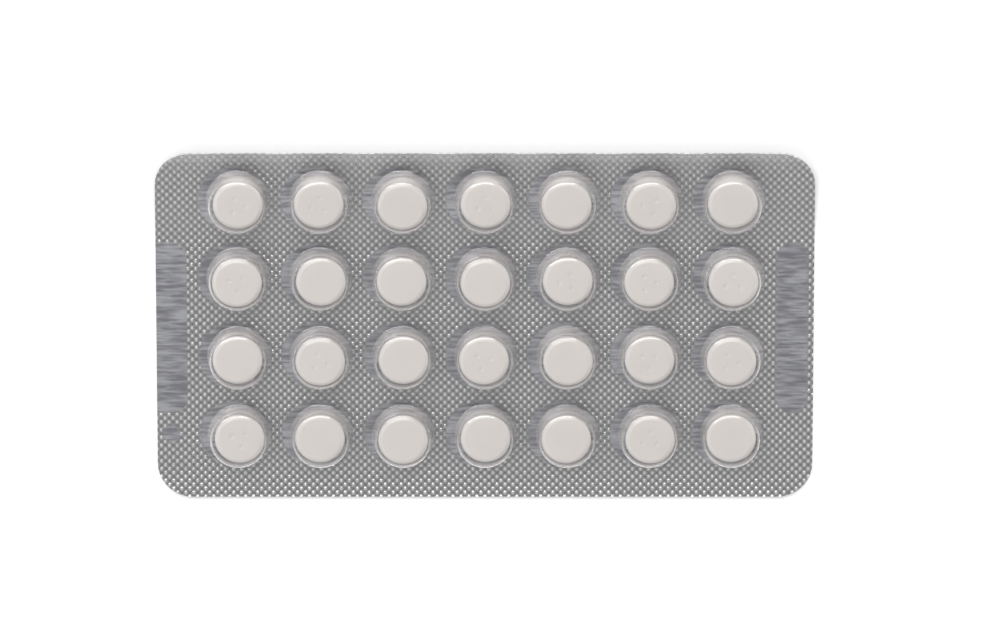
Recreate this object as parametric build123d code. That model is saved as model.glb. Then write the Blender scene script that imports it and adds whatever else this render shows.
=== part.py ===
from build123d import *
import math
import os

# A push-through pack: a sheet of clear film with a pocket drawn up over each round tablet, and a
# sheet of foil sealed over its open side. The pack lies on its foil, and both long edges lift a little.
# Lengths are in millimetres and angles in degrees.
# Frame: origin under the middle of the pack, on the surface that it lies on. +X runs along the long
# side, +Y to the long edge that lifts most, which is the edge beside row 1, and +Z out of the pockets.

# Tablet
tablet_diameter = 8.0
tablet_thickness = 3.2

# Room round a tablet in its pocket. Each lies off centre by a share of the room at its side, and the
# side that it lies to turns by this much from one tablet to the next.
side_room = 0.35
head_room = 1.25
off_centre_share = 0.5
off_centre_turn = 137.5

# Sheets
film_thickness = 0.25
foil_thickness = 0.05

# The film is drawn thinnest at a pocket's shoulder, where a bevel leaves this much of it
shoulder_thickness = 0.11

# Layout: the flat film left between one pocket and the next, and between the pockets and the edges.
# The upper edge is the one beside row 1.
column_count = 7
row_count = 4
column_land = 3.97
row_land = 3.95
end_margin = 8.5
upper_margin = 3.4
lower_margin = 5.9
corner_radius = 5.7

# Bow of the pack: row 1 leans up from the flat, and both long margins curl up
row1_lean_angle = 4.5
upper_curl_radius = 15.5
lower_curl_radius = 40.0

# Worked out from the sizes above
film_top = foil_thickness + film_thickness
hollow_radius = tablet_diameter / 2 + side_room
hollow_top = foil_thickness + tablet_thickness + head_room
pocket_radius = hollow_radius + film_thickness
pocket_top = hollow_top + film_thickness
shoulder_bevel = 2 * film_thickness - math.sqrt(2) * shoulder_thickness
column_pitch = 2 * pocket_radius + column_land
row_pitch = 2 * pocket_radius + row_land
pack_length = (column_count - 1) * column_pitch + 2 * (pocket_radius + end_margin)

# The sheets' underside from the flat outwards, as stretches of a length and the angle it turns by.
# The flat holds every row but the first. The sheets are sealed wider than the pack and punched out.
flat_length = (row_count - 2) * row_pitch + 2 * pocket_radius
trim = 4 * film_thickness
upper_curl = upper_margin + trim
lower_curl = lower_margin + trim
upper_stretches = [
    (row_land, row1_lean_angle),
    (2 * pocket_radius, 0),
    (upper_curl, math.degrees(upper_curl / upper_curl_radius)),
]
lower_stretches = [(lower_curl, math.degrees(lower_curl / lower_curl_radius))]


def walk(stretches, distance):
    """Place and tilt on the underside, this far out from the end of the flat: (out, up, tilt)."""
    out, up, tilt = 0.0, 0.0, 0.0
    for length, turn in stretches:
        step = min(distance, length)
        bend = math.radians(turn * step / length)
        chord = 2 * step / bend * math.sin(bend / 2) if bend else step
        out += chord * math.cos(tilt + bend / 2)
        up += chord * math.sin(tilt + bend / 2)
        tilt += bend
        distance -= step
    return out, up, math.degrees(tilt)


# The pack's outline is centred on the origin
upper_width = walk(upper_stretches, row_land + 2 * pocket_radius + upper_margin)[0]
lower_width = walk(lower_stretches, lower_margin)[0]
pack_width = flat_length + upper_width + lower_width
flat_end = pack_width / 2 - upper_width
flat_start = lower_width - pack_width / 2


def seat(column, row):
    """Where a pocket stands on the sheets' underside, turned with their lean."""
    x = (column - (column_count - 1) / 2) * column_pitch
    if row > 0:
        return Location((x, flat_end - pocket_radius - (row - 1) * row_pitch, 0))
    out, up, tilt = walk(upper_stretches, row_land + pocket_radius)
    return Location((x, flat_end + out, up), (tilt, 0, 0))


def edge_path(stretches, flat_edge, way, height):
    """Lines and arcs at this height over the underside, outwards from an end of the flat."""

    def at(distance):
        out, up, tilt = walk(stretches, distance)
        y = out - height * math.sin(math.radians(tilt))
        return flat_edge + way * y, up + height * math.cos(math.radians(tilt))

    path = []
    done = 0.0
    for length, turn in stretches:
        start, middle, end = (at(done + length * share) for share in (0, 0.5, 1))
        path.append(ThreePointArc(start, middle, end) if turn else Line(start, end))
        done += length
    return path


def sheet(base, top):
    """A sheet between two heights over the underside, which follows the bow and has the pack's outline."""
    edges = []
    tips = []
    for height in (base, top):
        upper = edge_path(upper_stretches, flat_end, 1, height)
        lower = edge_path(lower_stretches, flat_start, -1, height)
        edges += upper + lower + [Line((flat_start, height), (flat_end, height))]
        tips.append((upper[-1] @ 1, lower[-1] @ 1))
    edges += [Line(*pair) for pair in zip(*tips)]
    blank = extrude(Plane.YZ * make_face(edges), pack_length / 2 + trim, both=True)
    outline = RectangleRounded(pack_length, pack_width, corner_radius)
    return blank & extrude(outline, pack_length, both=True)


def turned(section):
    """The round solid that half a section makes, standing at a seat."""
    return revolve(Plane.XZ * make_face(Polyline(*section, close=True)), Axis.Z)


def blister_film():
    """The film with every pocket drawn up from it."""
    root = film_top - film_thickness / 2
    shoulder = pocket_top - shoulder_bevel
    crown = pocket_radius - shoulder_bevel
    wall = [(pocket_radius, root), (pocket_radius, shoulder)]
    skin = turned([(0, root), *wall, (crown, pocket_top), (0, pocket_top)])
    hollow = turned([(0, 0), (hollow_radius, 0), (hollow_radius, hollow_top), (0, hollow_top)])
    seats = [seat(column, row) for row in range(row_count) for column in range(column_count)]
    film = sheet(foil_thickness, film_top).fuse(*[place * skin for place in seats])
    return film.cut(*[place * hollow for place in seats])


def lidding_foil():
    """The foil, flat under every pocket."""
    return sheet(0, foil_thickness)


def tablet(column, row):
    """One tablet, lying flat on the foil and a little off the middle of its pocket."""
    disc = Cylinder(tablet_diameter / 2, tablet_thickness, align=(Align.CENTER, Align.CENTER, Align.MIN))
    shift = Vector(off_centre_share * side_room, 0, foil_thickness)
    shift = shift.rotate(Axis.Z, off_centre_turn * (row * column_count + column))
    return seat(column, row) * Pos(shift) * disc


os.makedirs("parts", exist_ok=True)
export_step(lidding_foil(), "parts/lidding_foil.step")
export_step(blister_film(), "parts/blister_film.step")
for row in range(row_count):
    for column in range(column_count):
        export_step(tablet(column, row), f"parts/tablet_row{row + 1}_col{column + 1}.step")
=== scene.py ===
import math
import random
import bmesh
import bpy
from mathutils import Matrix, Vector, noise


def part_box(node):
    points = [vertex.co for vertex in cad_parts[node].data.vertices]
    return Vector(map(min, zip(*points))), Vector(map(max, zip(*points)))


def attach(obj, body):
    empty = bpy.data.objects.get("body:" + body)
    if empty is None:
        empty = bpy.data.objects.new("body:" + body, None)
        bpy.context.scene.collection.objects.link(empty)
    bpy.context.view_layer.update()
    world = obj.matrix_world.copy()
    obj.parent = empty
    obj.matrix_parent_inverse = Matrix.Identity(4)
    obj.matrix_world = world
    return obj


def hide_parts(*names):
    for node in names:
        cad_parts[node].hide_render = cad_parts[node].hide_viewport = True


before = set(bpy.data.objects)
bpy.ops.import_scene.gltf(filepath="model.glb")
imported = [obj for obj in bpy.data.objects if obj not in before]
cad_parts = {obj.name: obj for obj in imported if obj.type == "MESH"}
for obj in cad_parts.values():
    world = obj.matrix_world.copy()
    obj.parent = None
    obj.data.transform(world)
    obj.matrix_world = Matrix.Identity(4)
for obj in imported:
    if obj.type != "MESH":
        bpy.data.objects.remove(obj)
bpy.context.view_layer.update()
print("stage 1: pack loaded,", len(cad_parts), "pieces")

# Lengths are in millimetres until a mesh is finished. Both sheets are modelled flat and then bowed:
# x runs along the pack, s runs across it as if it lay flat, and h is the height over its underside.
mm = 0.001
pack = {
    "columns": 7,
    "rows": 4,
    "pocketRadius": 4.6,
    "columnLand": 3.97,
    "rowLand": 3.95,
    "upperMargin": 3.4,
    "lowerMargin": 5.9,
    "cornerRadius": 5.7,
    "row1Lean": 4.5,
    "upperCurlRadius": 15.5,
    "lowerCurlRadius": 40.0,
    "foilTop": 0.05,
    "filmTop": 0.3,
}
pack["columnPitch"] = 2 * pack["pocketRadius"] + pack["columnLand"]
pack["rowPitch"] = 2 * pack["pocketRadius"] + pack["rowLand"]

packLow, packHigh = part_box("lidding_foil")
packLength = (packHigh.x - packLow.x) / mm
packWidth = (packHigh.y - packLow.y) / mm
upperBends = [
    (pack["rowLand"], math.radians(pack["row1Lean"])),
    (2 * pack["pocketRadius"], 0),
    (pack["upperMargin"], pack["upperMargin"] / pack["upperCurlRadius"]),
]
lowerBends = [(pack["lowerMargin"], pack["lowerMargin"] / pack["lowerCurlRadius"])]
upperLength = sum(length for length, turn in upperBends)


def walk(bends, distance):  # how far out and up the underside has come, and its tilt there
    out, up, tilt = 0.0, 0.0, 0.0
    for length, turn in bends:
        step = min(distance, length)
        bend = turn * step / length
        chord = 2 * step / bend * math.sin(bend / 2) if bend else step
        out += chord * math.cos(tilt + bend / 2)
        up += chord * math.sin(tilt + bend / 2)
        tilt += bend
        distance -= step
    return out, up, tilt


flatEnd = packWidth / 2 - walk(upperBends, upperLength)[0]
flatStart = walk(lowerBends, pack["lowerMargin"])[0] - packWidth / 2
sheetLow = flatStart - pack["lowerMargin"]
sheetHigh = flatEnd + upperLength


def bowed(point):  # from the flat sheet to the bowed pack, in metres
    x, s, h = point
    if s > flatEnd:
        bends, start, way = upperBends, flatEnd, 1
    elif s < flatStart:
        bends, start, way = lowerBends, flatStart, -1
    else:
        return Vector((x, s, h)) * mm
    out, up, tilt = walk(bends, abs(s - start))
    return Vector((x, start + way * (out - h * math.sin(tilt)), up + h * math.cos(tilt))) * mm


def seat(row, column):  # the middle of a pocket, on the flat sheet
    x = (column - (pack["columns"] - 1) / 2) * pack["columnPitch"]
    return Vector((x, flatEnd - pack["pocketRadius"] - (row - 1) * pack["rowPitch"], 0))


places = [(row, column) for row in range(pack["rows"]) for column in range(pack["columns"])]
seats = [seat(row, column) for row, column in places]


# Seal: a quincunx of small points pressed up through both sheets, with smooth places left in it.
# A field of wrinkles gives how much x and s each count along its two sides, and its layer.
seal = {
    "repeatX": 1.29,
    "repeatS": 1.32,
    "cells": 4,
    "height": 0.09,
    "fade": 0.3,
    "smoothRadius": 5.55,
    "smoothSquash": 1.04,
    "smoothShift": Vector((-0.6, 0.05, 0)),
    "slotMiddle": -0.65,
    "slotHalf": 14.15,
    "slotRound": 2.3,
    "leftSlot": (-57.0, -47.85),
    "rightSlot": (46.9, 51.5),
    "patch": Vector((-50.4, -18.4, 0)),
    "patchRadius": 1.3,
    "wrinkle": 0.05,
    "wideWrinkles": {"x": (0.16, 0.12), "s": (0, 0.75), "layer": 3.1},
    "fineWrinkles": {"x": (0.4, 0), "s": (0.2, 1.5), "layer": 8.7},
    "fineShare": 0.5,
}
seal["countX"] = round(packLength / seal["repeatX"])
seal["countS"] = round((sheetHigh - sheetLow) / seal["repeatS"])


def slotDistance(point, sides):  # how far outside a slot with round corners
    x = abs(point.x - sum(sides) / 2) - (sides[1] - sides[0]) / 2 + seal["slotRound"]
    s = abs(point.y - seal["slotMiddle"]) - seal["slotHalf"] + seal["slotRound"]
    return math.hypot(max(x, 0), max(s, 0)) + min(max(x, s), 0) - seal["slotRound"]


def nearestSeat(point):
    column = round(point.x / pack["columnPitch"] + (pack["columns"] - 1) / 2)
    row = round((flatEnd - pack["pocketRadius"] - point.y) / pack["rowPitch"] + 1)
    column = min(max(column, 0), pack["columns"] - 1)
    return seats[min(max(row, 0), pack["rows"] - 1) * pack["columns"] + column]


def sealed(point):  # a place in the pattern, in repeats, and how fully it is pressed there
    flat = Vector((point.x, point.y, 0))
    slots = min(slotDistance(flat, seal["leftSlot"]), slotDistance(flat, seal["rightSlot"]))
    patch = (flat - seal["patch"]).length - seal["patchRadius"]
    reach = flat - nearestSeat(flat) - seal["smoothShift"]
    ring = math.hypot(reach.x, seal["smoothSquash"] * reach.y) - seal["smoothRadius"]
    pressed = min(1, max(0, min(slots, patch, ring) / seal["fade"]))
    acrossX = seal["countX"] * (point.x / packLength + 0.5)
    acrossS = seal["countS"] * (point.y - sheetLow) / (sheetHigh - sheetLow)
    return Vector((acrossX, acrossS, pressed))


def wrinkles(point, field):
    sides = [point.x * x + point.y * s for x, s in zip(field["x"], field["s"])]
    return noise.noise(Vector((*sides, field["layer"])))


def relief(point):  # height that the seal adds at a place on the flat sheet
    acrossX, acrossS, pressed = sealed(point)
    dots = max(0, math.cos(2 * math.pi * acrossX) * math.cos(2 * math.pi * acrossS))
    wide = wrinkles(point, seal["wideWrinkles"])
    fine = wrinkles(point, seal["fineWrinkles"])
    smooth = seal["wrinkle"] * (1 + wide + seal["fineShare"] * fine) / 2
    return pressed * dots * seal["height"] + (1 - pressed) * max(0, smooth)


# The sheets, and how closely meshes are cut and merged
sheets = {
    "holeRadius": 5.45,
    "rimMargin": 1.0,
    "plainRadius": 4.9,
    "filmRelief": 0.45,
    "filmThickness": 0.15,
    "cornerCuts": 9,
    "cornerMargin": 1.0,
    "bottomCuts": 1.0,
}
meshing = {
    "cutReach": 0.0001,
    "levelReach": 0.001,
    "mergeReach": 0.0005,
    "hardAngle": 35,
}


def cutAcross(bm, faces, place, outward, clearOuter):
    edges = {edge for face in faces for edge in face.edges}
    verts = {vert for face in faces for vert in face.verts}
    bmesh.ops.bisect_plane(
        bm, geom=faces + list(edges) + list(verts), dist=meshing["cutReach"],
        plane_co=place, plane_no=outward, clear_outer=clearOuter)


def roundCorner(bm, wayX, wayS):
    radius = pack["cornerRadius"]
    sheetEnd = sheetHigh if wayS > 0 else sheetLow
    centre = Vector((wayX * (packLength / 2 - radius), sheetEnd - wayS * radius, 0))
    for cut in range(sheets["cornerCuts"]):
        angle = math.radians(90 * (cut + 0.5) / sheets["cornerCuts"])
        outward = Vector((wayX * math.cos(angle), wayS * math.sin(angle), 0))
        faces = []
        for face in bm.faces:
            reach = face.calc_center_median() - centre
            if min(reach.x * wayX, reach.y * wayS) > -sheets["cornerMargin"]:
                faces.append(face)
        cutAcross(bm, faces, centre + outward * radius, outward, True)


def flatSheet():  # a grid one unit wide, brought to size by its matrix
    bm = bmesh.new()
    size = Vector((packLength, sheetHigh - sheetLow, 1))
    middle = Vector((0, (sheetHigh + sheetLow) / 2, 0))
    bmesh.ops.create_grid(
        bm, x_segments=seal["countX"] * seal["cells"], y_segments=seal["countS"] * seal["cells"],
        size=0.5, matrix=Matrix.LocRotScale(middle, None, size))
    for wayX in (-1, 1):
        for wayS in (-1, 1):
            roundCorner(bm, wayX, wayS)
    pattern = bm.verts.layers.float_vector.new("seal")
    for vert in bm.verts:
        vert[pattern] = sealed(vert.co)
    return bm


def facesWithin(bm, radius, shift):  # faces this near to the place that lies shifted from a seat
    found = []
    for face in bm.faces:
        middle = face.calc_center_median()
        if (middle - nearestSeat(middle) - shift).length < radius:
            found.append(face)
    return found


def meshFrom(bm, name):
    mesh = bpy.data.meshes.new(name)
    bm.to_mesh(mesh)
    bm.free()
    return mesh


def newObject(name, data):
    thing = bpy.data.objects.new(name, data)
    bpy.context.scene.collection.objects.link(thing)
    return thing


def finishPiece(bm, name, finish, replaced):
    hardAngle = math.radians(meshing["hardAngle"])
    for face in bm.faces:
        face.smooth = True
    for edge in bm.edges:
        if len(edge.link_faces) == 2 and edge.calc_face_angle() > hardAngle:
            edge.smooth = False
    mesh = meshFrom(bm, name)
    mesh.materials.append(finish)
    piece = newObject(name, mesh)
    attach(piece, "root")
    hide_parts(replaced)


def makeFoil(finish):  # the plain places under the tablets are one face each
    bm = flatSheet()
    for vert in bm.verts:
        vert.co.z = pack["foilTop"] + relief(vert.co)
    plain = facesWithin(bm, sheets["plainRadius"], seal["smoothShift"])
    bmesh.ops.dissolve_faces(bm, faces=plain, use_verts=True)
    back = bmesh.ops.extrude_face_region(bm, geom=bm.faces[:], use_keep_orig=True)["geom"]
    backVerts = [item for item in back if isinstance(item, bmesh.types.BMVert)]
    bmesh.ops.translate(bm, verts=backVerts, vec=(0, 0, -pack["foilTop"]))
    bmesh.ops.recalc_face_normals(bm, faces=bm.faces[:])
    for vert in bm.verts:
        vert.co = bowed(vert.co)
    finishPiece(bm, "foilSheet", finish, "lidding_foil")


# A pocket's section, from its root to the middle of its crown
pocket = {
    "steps": 64,
    "rootReach": 5.3,
    "rootRound": 0.6,
    "rootSteps": 5,
    "lean": 2.2,
    "shoulderRound": 0.75,
    "shoulderSteps": 6,
    "crownSlope": 4.0,
    "crownInset": 0.93,
    "crownSteps": 3,
    "top": 4.55,
}


def arc(centre, radius, start, end, count):
    points = []
    for step in range(count + 1):
        angle = math.radians(start + (end - start) * step / count)
        points.append((centre[0] + radius * math.cos(angle), centre[1] + radius * math.sin(angle)))
    return points


def pocketSection(inset):  # the outer skin's section, or one this far inside it
    lean, slope = math.radians(pocket["lean"]), math.radians(pocket["crownSlope"])
    rootRound, shoulderRound = pocket["rootRound"], pocket["shoulderRound"]
    rootCentre = (pocket["rootReach"], pack["filmTop"] + rootRound)
    wallFoot = rootCentre[0] - rootRound * math.cos(lean)
    footHeight = rootCentre[1] - rootRound * math.sin(lean)
    crownEdge = pocket["top"] - (wallFoot - pocket["crownInset"]) * math.tan(slope / 2)
    centreHeight = crownEdge - shoulderRound * math.cos(slope)
    wallTop = centreHeight + shoulderRound * math.sin(lean)
    wallTopReach = wallFoot - (wallTop - footHeight) * math.tan(lean)
    shoulderCentre = (wallTopReach - shoulderRound * math.cos(lean), centreHeight)
    wallTurn, crownTurn = pocket["lean"], 90 - pocket["crownSlope"]
    root = arc(rootCentre, rootRound + inset, 270, 180 + wallTurn, pocket["rootSteps"])
    shoulder = arc(shoulderCentre, shoulderRound - inset, wallTurn, crownTurn, pocket["shoulderSteps"])
    crownRadius = shoulder[-1][0] / math.sin(slope)
    crownCentre = (0, shoulder[-1][1] - crownRadius * math.cos(slope))
    crown = arc(crownCentre, crownRadius, crownTurn, 90, pocket["crownSteps"])
    return root + shoulder + crown[1:]


def spun(section, steps):  # a section turned round an upright line through the origin
    bm = bmesh.new()
    verts = [bm.verts.new((reach, 0, height)) for reach, height in section]
    edges = [bm.edges.new(pair) for pair in zip(verts, verts[1:])]
    bmesh.ops.spin(
        bm, geom=verts + edges, cent=(0, 0, 0), axis=(0, 0, 1), angle=2 * math.pi,
        steps=steps, use_merge=True)
    bmesh.ops.remove_doubles(bm, verts=bm.verts[:], dist=meshing["mergeReach"])
    return bm


def addSkin(bm, skin, place):  # returns the edges of its foot
    before = set(bm.verts)
    bm.from_mesh(skin)
    added = [vert for vert in bm.verts if vert not in before]
    bmesh.ops.translate(bm, verts=added, vec=place)
    edges = dict.fromkeys(edge for vert in added for edge in vert.link_edges)
    return [edge for edge in edges if edge.is_boundary]


def openEdges(bm):  # those round each pocket's hole, and those round the sheet
    rims = {tuple(place): [] for place in seats}
    outline = []
    for edge in bm.edges:
        if edge.is_boundary:
            flat = Vector((edge.verts[0].co.x, edge.verts[0].co.y, 0))
            place = nearestSeat(flat)
            isRim = (flat - place).length < sheets["holeRadius"] + sheets["rimMargin"]
            (rims[tuple(place)] if isRim else outline).append(edge)
    return rims, outline


def cutBottom(bm, underside):  # lines across the plain underside, so that it can follow the bow
    stripEnd = sheetHigh - pack["upperMargin"]
    strips = ((sheetLow, flatStart), (flatEnd, flatEnd + pack["rowLand"]), (stripEnd, sheetHigh))
    lines = []
    for low, high in strips:
        count = math.ceil((high - low) / sheets["bottomCuts"])
        lines += [low + (high - low) * step / count for step in range(count + 1)]
    for line in lines:
        faces = []
        for face in bm.faces:
            reaches = [vert.co.y - line for vert in face.verts]
            crosses = min(reaches) < 0 < max(reaches)
            if crosses and all(abs(vert.co.z - underside) < meshing["levelReach"] for vert in face.verts):
                faces.append(face)
        cutAcross(bm, faces, (0, line, 0), (0, 1, 0), False)


def closeBelow(bm, outline, feet):  # a skirt down from the outline, and the plain underside within it
    underside = pack["filmTop"] - sheets["filmThickness"]
    skirt = bmesh.ops.extrude_edge_only(bm, edges=outline)["geom"]
    for item in skirt:
        if isinstance(item, bmesh.types.BMVert):
            item.co.z = underside
    hem = [item for item in skirt if isinstance(item, bmesh.types.BMEdge) and item.is_boundary]
    bmesh.ops.triangle_fill(bm, use_beauty=True, edges=hem + feet, normal=(0, 0, -1))
    cutBottom(bm, underside)


def makeFilm(finish):
    bm = flatSheet()
    holes = facesWithin(bm, sheets["holeRadius"], Vector())
    bmesh.ops.delete(bm, geom=holes, context="FACES")
    for vert in bm.verts:
        vert.co.z = pack["filmTop"] + sheets["filmRelief"] * relief(vert.co)
    rims, outline = openEdges(bm)
    outer = meshFrom(spun(pocketSection(0), pocket["steps"]), "outerSkin")
    inner = meshFrom(spun(pocketSection(sheets["filmThickness"]), pocket["steps"]), "innerSkin")
    feet = []
    for place in seats:
        foot = addSkin(bm, outer, place)
        bmesh.ops.bridge_loops(bm, edges=rims[tuple(place)] + foot)
        feet += addSkin(bm, inner, place)
    closeBelow(bm, outline, feet)
    bmesh.ops.recalc_face_normals(bm, faces=bm.faces[:])
    for vert in bm.verts:
        vert.co = bowed(vert.co)
    print("film: open edges", sum(edge.is_boundary for edge in bm.edges))
    finishPiece(bm, "filmSheet", finish, "blister_film")


# A tablet, with a bevel round each face. Some are pressed with three shallow pips.
# The eases are how far a rounded edge's middle is drawn in, as shares of its round.
tablet = {
    "radius": 4.0,
    "thickness": 3.2,
    "faceRadius": 3.35,
    "bevelDrop": 0.33,
    "edgeRound": 0.1,
    "faceEase": 0.2,
    "sideEase": 0.3,
    "steps": 64,
    "faceRings": 15,
    "ringReach": 2.1,
    "pips": 3,
    "pipRadius": 0.45,
    "pipReach": 1.3,
    "pipDepth": 0.15,
    "shift": 0.175,
    "shiftTurn": 137.5,
    "pressed": {0: (0, 1, 3, 5), 1: (0, 4, 5, 6), 2: (1, 3, 5, 6), 3: (0, 5)},
    "seed": 7,
}


def tabletSection():  # from the middle of the upper face to the middle of the lower one
    radius, half, face = tablet["radius"], tablet["thickness"] / 2, tablet["faceRadius"]
    side, soft = half - tablet["bevelDrop"], tablet["edgeRound"]
    slope = tablet["bevelDrop"] / (radius - face)
    faceEase, sideEase = tablet["faceEase"] * soft * slope, tablet["sideEase"] * soft
    edge = [(face - soft, half), (face, half - faceEase), (face + soft, half - soft * slope)]
    edge += [(radius - soft, side + soft * slope), (radius - sideEase, side - sideEase)]
    edge.append((radius, side - soft))
    rings = tablet["faceRings"]
    upper = [(tablet["ringReach"] * ring / rings, half) for ring in range(rings + 1)] + edge
    lower = [(reach, -height) for reach, height in reversed(edge)] + [(0, -half)]
    return [(reach, height + half) for reach, height in upper + lower]


def pressPips(bm, turn):
    for pip in range(tablet["pips"]):
        angle = turn + 2 * math.pi * pip / tablet["pips"]
        middle = Vector((math.cos(angle), math.sin(angle))) * tablet["pipReach"]
        for vert in bm.verts:
            near = (vert.co.xy - middle).length / tablet["pipRadius"]
            if near < 1 and vert.co.z > tablet["thickness"] / 2:
                vert.co.z -= tablet["pipDepth"] * (1 - near ** 2) ** 1.5


def makeTablet(row, column, finish):
    number = row * pack["columns"] + column
    chance = random.Random(tablet["seed"] + number)
    bm = spun(tabletSection(), tablet["steps"])
    bmesh.ops.recalc_face_normals(bm, faces=bm.faces[:])
    turn = chance.uniform(0, 2 * math.pi)
    if column in tablet["pressed"][row]:
        pressPips(bm, turn)
    angle = math.radians(tablet["shiftTurn"] * number)
    aside = Vector((math.cos(angle), math.sin(angle), 0)) * tablet["shift"]
    lift = Vector((0, 0, pack["foilTop"]))
    for vert in bm.verts:
        vert.co = bowed(vert.co + seat(row, column) + aside + lift)
    name = f"{row + 1}_col{column + 1}"
    finishPiece(bm, "tabletRow" + name, finish, "tablet_row" + name)


# Finishes
class Wire:  # a socket that takes part in sums
    def __init__(self, finish, socket):
        self.finish = finish
        self.socket = socket

    def __add__(self, other):
        return self.finish.maths("ADD", self, other)

    def __radd__(self, other):
        return self.finish.maths("ADD", other, self)

    def __sub__(self, other):
        return self.finish.maths("SUBTRACT", self, other)

    def __rsub__(self, other):
        return self.finish.maths("SUBTRACT", other, self)

    def __mul__(self, other):
        return self.finish.maths("MULTIPLY", self, other)

    def __rmul__(self, other):
        return self.finish.maths("MULTIPLY", other, self)

    def __pow__(self, other):
        return self.finish.maths("POWER", self, other)

    def __rpow__(self, other):
        return self.finish.maths("POWER", other, self)


class Finish:  # a material and its nodes
    def __init__(self, name):
        self.material = bpy.data.materials.new(name)
        self.material.use_nodes = True
        self.tree = self.material.node_tree
        self.tree.nodes.clear()

    def add(self, kind, settings, inputs, output=0):
        node = self.tree.nodes.new(kind)
        for name, value in settings.items():
            setattr(node, name, value)
        for name, value in inputs.items():
            if isinstance(value, Wire):
                self.tree.links.new(value.socket, node.inputs[name])
            else:
                node.inputs[name].default_value = value
        return Wire(self, node.outputs[output])

    def maths(self, operation, *values):
        return self.add("ShaderNodeMath", {"operation": operation}, dict(enumerate(values)))

    def coordinates(self, kind):
        return self.add("ShaderNodeTexCoord", {}, {}, output=kind)

    def part(self, vector, index):
        return self.add("ShaderNodeSeparateXYZ", {}, {0: vector}, output=index)

    def noise(self, scale, detail, stretch=(1, 1, 1)):
        placed = self.add("ShaderNodeMapping", {}, {"Vector": self.coordinates("Object"), "Scale": stretch})
        return self.add("ShaderNodeTexNoise", {}, {"Vector": placed, "Scale": scale, "Detail": detail})

    def blend(self, factor, first, second):  # of two colours
        settings = {"data_type": "RGBA"}
        return self.add("ShaderNodeMix", settings, {0: factor, 6: first, 7: second}, output=2)

    def layer(self, factor, first, second):  # of two shaders
        return self.add("ShaderNodeMixShader", {}, {0: factor, 1: first, 2: second})

    def rays(self, *kinds):
        return [self.add("ShaderNodeLightPath", {}, {}, output=f"Is {kind} Ray") for kind in kinds]

    def done(self, surface):
        output = self.tree.nodes.new("ShaderNodeOutputMaterial")
        self.tree.links.new(surface.socket, output.inputs["Surface"])
        print("finish:", self.material.name)
        return self.material


# Clear film bends what is seen through it, and lets the lamps' light in. A faint warm mist lies on the
# walls that were drawn up, where they are seen at a slant: partly haze, partly a painted sheen that
# brightens them.
filmLook = {
    "colour": (1, 1, 1, 1),
    "refraction": 1.5,
    "waveScale": 90.0,
    "fineScale": 900.0,
    "detail": 2.0,
    "fineHeight": 0.03,
    "bumpStrength": 0.2,
    "bumpDistance": 0.0003,
    "roughness": 0.03,
    "fineRoughness": 0.05,
    # painted sheen: the warm tint brightens the slanted walls in place of their reflections, as well as
    # hazing them
    "mistAndSheenColour": (0.95, 0.89, 0.865, 1),
    "leastMist": 0.01,
    "wallMistAndSheen": 0.28,
    "mistPower": 0.5,
    "straightLight": (0.97, 0.975, 0.98, 1),
    "slantedLight": (0.5, 0.5, 0.5, 1),
    "slantPower": 3,
}


def clearFilmFinish():
    finish = Finish("clearFilm")
    waves = finish.noise(filmLook["waveScale"], filmLook["detail"])
    fine = finish.noise(filmLook["fineScale"], filmLook["detail"])
    bump = finish.add("ShaderNodeBump", {}, {
        "Height": waves + filmLook["fineHeight"] * fine,
        "Strength": filmLook["bumpStrength"],
        "Distance": filmLook["bumpDistance"],
    })
    plastic = finish.add("ShaderNodeBsdfPrincipled", {}, {
        "Base Color": filmLook["colour"],
        "Roughness": filmLook["roughness"] + filmLook["fineRoughness"] * fine,
        "IOR": filmLook["refraction"],
        "Transmission Weight": 1.0,
        "Normal": bump,
    })
    grazing = finish.add("ShaderNodeLayerWeight", {}, {"Blend": 0.5}, output="Facing")
    upright = finish.part(finish.coordinates("Normal"), 2)
    slope = 1.0 - upright * upright
    # the mist is partly haze and partly a painted sheen on the slanted walls
    mistAndSheen = filmLook["leastMist"] + filmLook["wallMistAndSheen"] * (slope * grazing) ** filmLook["mistPower"]
    hazeAndSheen = finish.add("ShaderNodeBsdfDiffuse", {}, {"Color": filmLook["mistAndSheenColour"]})
    straight = finish.add("ShaderNodeBsdfTransparent", {}, {"Color": filmLook["straightLight"]})
    slanted = finish.add("ShaderNodeBsdfTransparent", {}, {"Color": filmLook["slantedLight"]})
    passing = finish.layer(grazing ** filmLook["slantPower"], straight, slanted)
    camera, through = finish.rays("Camera", "Transmission")
    return finish.done(finish.layer(camera + through, passing, finish.layer(mistAndSheen, plastic, hazeAndSheen)))


# Bright rolled foil, dulled by its lacquer, with drawn streaks along the pack. The seal's points are
# painted brighter as a painted highlight; the pressed flat between them and the pits are painted darker as
# painted shade.
foilLook = {
    "streakScale": 1.0,
    "streakStretch": (260, 2000, 240),
    "streakDetail": 4.0,
    "streakShare": 0.6,
    "patchScale": 260.0,
    "patchStretch": (0.5, 1.3, 1),
    "patchDetail": 3.0,
    "patchShare": 0.4,
    "drawnFrom": 0.42,
    "drawnTo": 0.58,
    "smoothDark": (0.31, 0.31, 0.35, 1),
    "smoothBright": (0.67, 0.67, 0.70, 1),
    # painted shade: the pressed flat between the seal's points is painted darker
    "pressedShadeColour": (0.44, 0.435, 0.44, 1),
    # painted shade: the pits between the points are painted darker still
    "pitShadeColour": (0.2, 0.195, 0.19, 1),
    "pitShadeShare": 0.75,
    "pitShadePower": 1.8,
    # painted highlight: the seal's points are painted brighter than the foil around them
    "dotHighlightColour": (0.88, 0.865, 0.85, 1),
    "dotPower": 1.4,
    "dotHeight": 0.8,
    "dotPatches": 0.4,
    "dotStrength": 1.0,
    "patchHeight": 0.8,
    "bumpStrength": 0.6,
    "bumpDistance": 0.0001,
    "roughness": 0.28,
    "streakRoughness": 0.18,
    "dotRoughness": 0.05,
}


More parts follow.
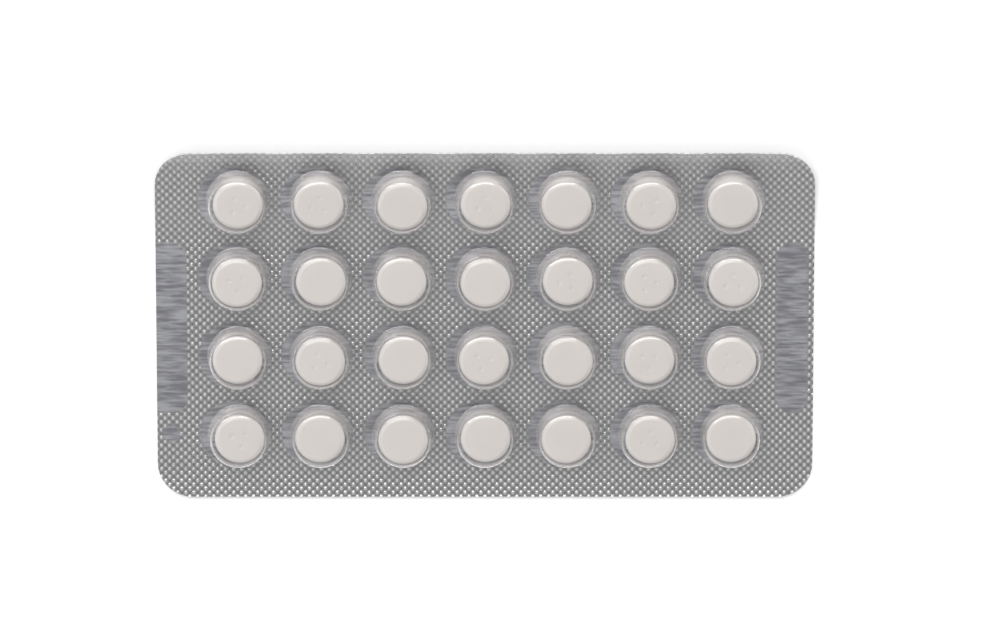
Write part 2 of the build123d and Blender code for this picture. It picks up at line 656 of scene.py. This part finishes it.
def sealPattern(finish):  # how far a place is on a point of the seal, in a pit between points, and pressed
    # the pit share only darkens the colour as painted shade; the points also brighten it as a painted
    # highlight
    pattern = finish.add("ShaderNodeAttribute", {"attribute_name": "seal"}, {}, output="Vector")
    acrossX, acrossS, pressed = [finish.part(pattern, index) for index in range(3)]
    waves = [finish.maths("COSINE", 2 * math.pi * across) for across in (acrossX, acrossS)]
    dots, pitShade = [finish.maths("MAXIMUM", way * (waves[0] * waves[1]), 0.0) for way in (1.0, -1.0)]
    return dots ** foilLook["dotPower"] * pressed, pitShade ** foilLook["pitShadePower"] * pressed, pressed


def foilFinish():
    finish = Finish("sealedFoil")
    streaks = finish.noise(foilLook["streakScale"], foilLook["streakDetail"], foilLook["streakStretch"])
    patches = finish.noise(foilLook["patchScale"], foilLook["patchDetail"], foilLook["patchStretch"])
    dots, pitShade, pressed = sealPattern(finish)
    drawn = finish.add("ShaderNodeMapRange", {}, {
        "Value": foilLook["streakShare"] * streaks + foilLook["patchShare"] * patches,
        "From Min": foilLook["drawnFrom"],
        "From Max": foilLook["drawnTo"],
    })
    smooth = finish.blend(drawn, foilLook["smoothDark"], foilLook["smoothBright"])
    # painted shade on the pressed flat
    flat = finish.blend(pressed, smooth, foilLook["pressedShadeColour"])
    # painted shade in the pits between the points
    pitShaded = finish.blend(foilLook["pitShadeShare"] * pitShade, flat, foilLook["pitShadeColour"])
    bump = finish.add("ShaderNodeBump", {}, {
        "Height": streaks + foilLook["patchHeight"] * patches,
        "Strength": foilLook["bumpStrength"],
        "Distance": foilLook["bumpDistance"],
    })
    points = finish.add("ShaderNodeBump", {}, {
        "Height": dots * (foilLook["dotHeight"] + foilLook["dotPatches"] * patches),
        "Strength": foilLook["dotStrength"],
        "Distance": foilLook["bumpDistance"],
        "Normal": bump,
    })
    dulled = foilLook["roughness"] + foilLook["streakRoughness"] * streaks
    return finish.done(finish.add("ShaderNodeBsdfPrincipled", {}, {
        # the points' colour is a painted highlight over their real bumps
        "Base Color": finish.blend(dots, pitShaded, foilLook["dotHighlightColour"]),
        "Metallic": 1.0,
        "Roughness": dulled + foilLook["dotRoughness"] * dots,
        "Normal": points,
    }))


# Pressed powder: warm white and fine grained, with a dull coat
powderLook = {
    "cloudScale": 420.0,
    "grainScale": 5200.0,
    "detail": 2.0,
    "darkColour": (0.75, 0.69, 0.645, 1),
    "lightColour": (0.79, 0.735, 0.69, 1),
    "bumpStrength": 0.25,
    "bumpDistance": 0.00004,
    "roughness": 0.3,
    "grainRoughness": 0.2,
    "refraction": 1.5,
    "coatRoughness": 0.22,
}


def powderFinish():
    finish = Finish("pressedPowder")
    cloud = finish.noise(powderLook["cloudScale"], powderLook["detail"])
    grain = finish.noise(powderLook["grainScale"], powderLook["detail"])
    bump = finish.add("ShaderNodeBump", {}, {
        "Height": grain,
        "Strength": powderLook["bumpStrength"],
        "Distance": powderLook["bumpDistance"],
    })
    return finish.done(finish.add("ShaderNodeBsdfPrincipled", {}, {
        "Base Color": finish.blend(cloud, powderLook["darkColour"], powderLook["lightColour"]),
        "Roughness": powderLook["roughness"] + powderLook["grainRoughness"] * grain,
        "IOR": powderLook["refraction"],
        "Coat Weight": 1.0,
        "Coat Roughness": powderLook["coatRoughness"],
        "Normal": bump,
    }))


makeFoil(foilFinish())
print("stage 2: foil made")
makeFilm(clearFilmFinish())
print("stage 3: film made")
powder = powderFinish()
for row, column in places:
    makeTablet(row, column, powder)
print("stage 4: tablets made")


# The stage, in metres
studio = {
    "worldGrey": 0.28,
    "floorSize": 3.0,
    "floorGrey": 0.86,
    "floorGlow": 0.23,
}
lamps = {
    "key": {"power": 10.8, "size": (1.5, 0.4), "place": Vector((-0.2, 0.86, 0.88))},
    "top": {"power": 0.6, "size": (1.1, 0.9), "place": Vector((0, -0.43, 1.4))},
    "fill": {"power": 6.0, "size": (2.0, 1.0), "place": Vector((-0.3, -1.2, 0.8))},
    "left": {"power": 5.0, "size": (1.8, 0.9), "place": Vector((-1.2, 0.1, 0.6))},
    "right": {"power": 5.0, "size": (1.8, 0.9), "place": Vector((1.2, 0.1, 0.6))},
}


def grey(level):
    return (level, level, level, 1)


def makeFloor():  # seen directly, in metal or through film, it glows up to the pale background
    bm = bmesh.new()
    bmesh.ops.create_grid(bm, x_segments=1, y_segments=1, size=studio["floorSize"])
    mesh = meshFrom(bm, "floor")
    finish = Finish("paleFloor")
    matt = finish.add("ShaderNodeBsdfDiffuse", {}, {"Color": grey(studio["floorGrey"])})
    glow = finish.add("ShaderNodeEmission", {}, {"Color": grey(1), "Strength": studio["floorGlow"]})
    dark = finish.add("ShaderNodeEmission", {}, {"Color": grey(0)})
    camera, glossy, through = finish.rays("Camera", "Glossy", "Transmission")
    shown = finish.layer(camera + glossy + through, dark, glow)
    mesh.materials.append(finish.done(finish.add("ShaderNodeAddShader", {}, {0: matt, 1: shown})))
    floor = newObject("floor", mesh)


def makeLamp(name, power, size, place):  # it faces the origin
    light = bpy.data.lights.new(name, "AREA")
    light.energy = power
    light.shape = "RECTANGLE"
    light.size, light.size_y = size
    lamp = newObject(name, light)
    lamp.location = place
    lamp.rotation_euler = place.to_track_quat("Z", "Y").to_euler()


def makeWorld():
    world = bpy.data.worlds.new("studio")
    bpy.context.scene.world = world
    world.use_nodes = True
    world.node_tree.nodes["Background"].inputs["Color"].default_value = grey(studio["worldGrey"])


makeFloor()
makeWorld()
for name, lamp in lamps.items():
    makeLamp(name, **lamp)
print("stage 5: floor and lights made")


# The camera looks down on the pack from over the edge beside row 1
view = {
    "lens": 360,
    "distance": 1600,
    "lean": 17.0,
    "aim": Vector((2.4, 1.5, 0.6)),
    "clipEnd": 20,
}
cameraData = bpy.data.cameras.new("camera")
cameraData.lens = view["lens"]
cameraData.clip_end = view["clipEnd"]
camera = newObject("camera", cameraData)
lean = math.radians(view["lean"])
camera.location = (view["aim"] + Vector((0, math.sin(lean), math.cos(lean))) * view["distance"]) * mm
camera.rotation_euler = (-lean, 0, 0)
bpy.context.scene.camera = camera
bpy.context.scene.view_settings.view_transform = "Standard"
print("stage 6: camera set")
